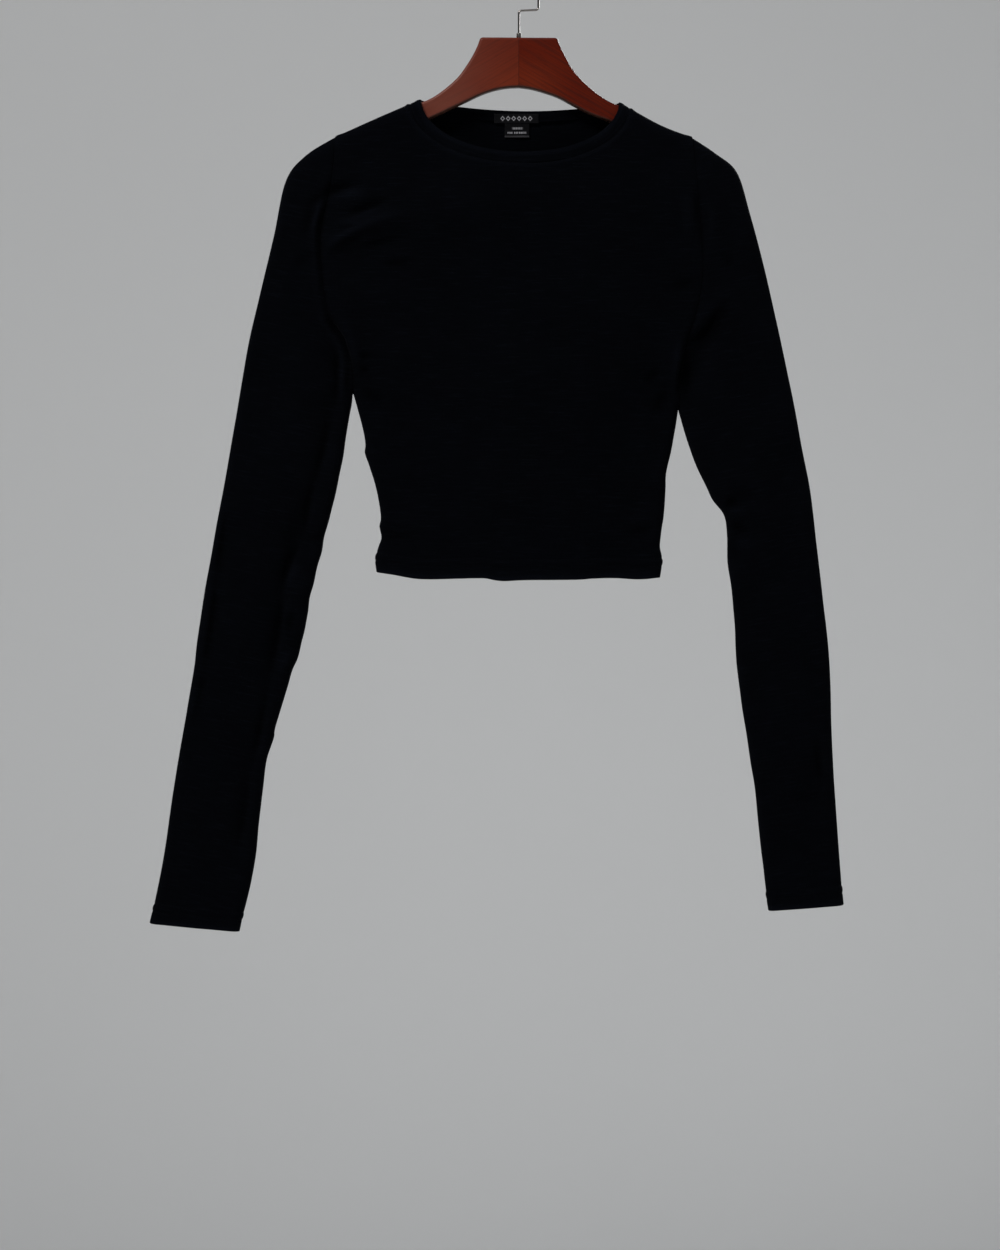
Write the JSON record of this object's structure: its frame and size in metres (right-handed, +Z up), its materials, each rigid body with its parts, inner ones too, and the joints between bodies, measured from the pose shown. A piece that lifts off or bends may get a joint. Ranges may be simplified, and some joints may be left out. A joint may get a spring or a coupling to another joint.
{
  "type": "crop top on a hanger",
  "caption": "Fitted long-sleeved crop top with a bound round neck, hanging nearly flat on a contoured wooden hanger with a cranked wire hook.",
  "frame": {"origin": "inside top of the hanger's hook, where a rail carries it", "axes": "+Z up, -Y the front of the garment, +X to the right as seen from the front; left and right in node names are as seen from the front"},
  "size_m": [0.5865, 0.0401, 0.8163],
  "materials": {
    "jersey": "matt black cotton jersey with a faint slub",
    "label": "black woven satin",
    "wood": "varnished red-brown",
    "chrome": "polished"
  },
  "bodies": {
    "root": {"front": "jersey", "back": "jersey", "sleeve_left": "jersey", "sleeve_right": "jersey", "neckband": "jersey", "brand_label": "label", "care_label": "label", "hanger": "wood", "hook": "chrome", "hook_collar": "chrome"}
  },
  "joints": []
}
